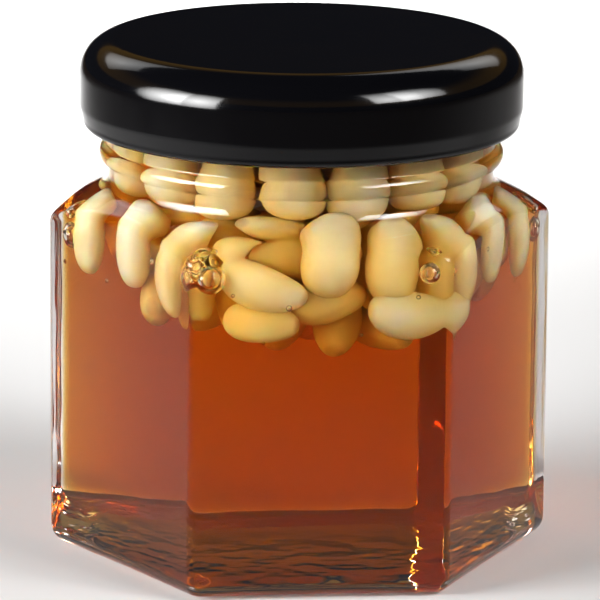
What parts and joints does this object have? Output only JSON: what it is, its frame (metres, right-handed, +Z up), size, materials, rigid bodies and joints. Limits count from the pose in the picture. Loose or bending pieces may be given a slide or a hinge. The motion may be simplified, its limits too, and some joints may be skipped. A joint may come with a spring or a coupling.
{
  "type": "honey jar",
  "caption": "Small six-sided glass jar of amber honey with pale nuts floating at the top, shut by a black twist-off lid.",
  "frame": {"origin": "middle of the jar's foot, on the surface that it stands on", "axes": "+Z up along the jar's axis, -Y out of the middle of one flat side, the one that faces the camera"},
  "size_m": [0.0526, 0.0464, 0.0542],
  "materials": {
    "clear_glass": "clear pressed glass, fire polished",
    "black_enamel": "gloss black enamel on thin steel",
    "honey": "clear amber liquid",
    "nuts": "smooth waxy cream nuts"
  },
  "bodies": {
    "root": {"jar": "clear_glass", "lid": "black_enamel", "honey": "honey", "nuts": "nuts"}
  },
  "joints": []
}
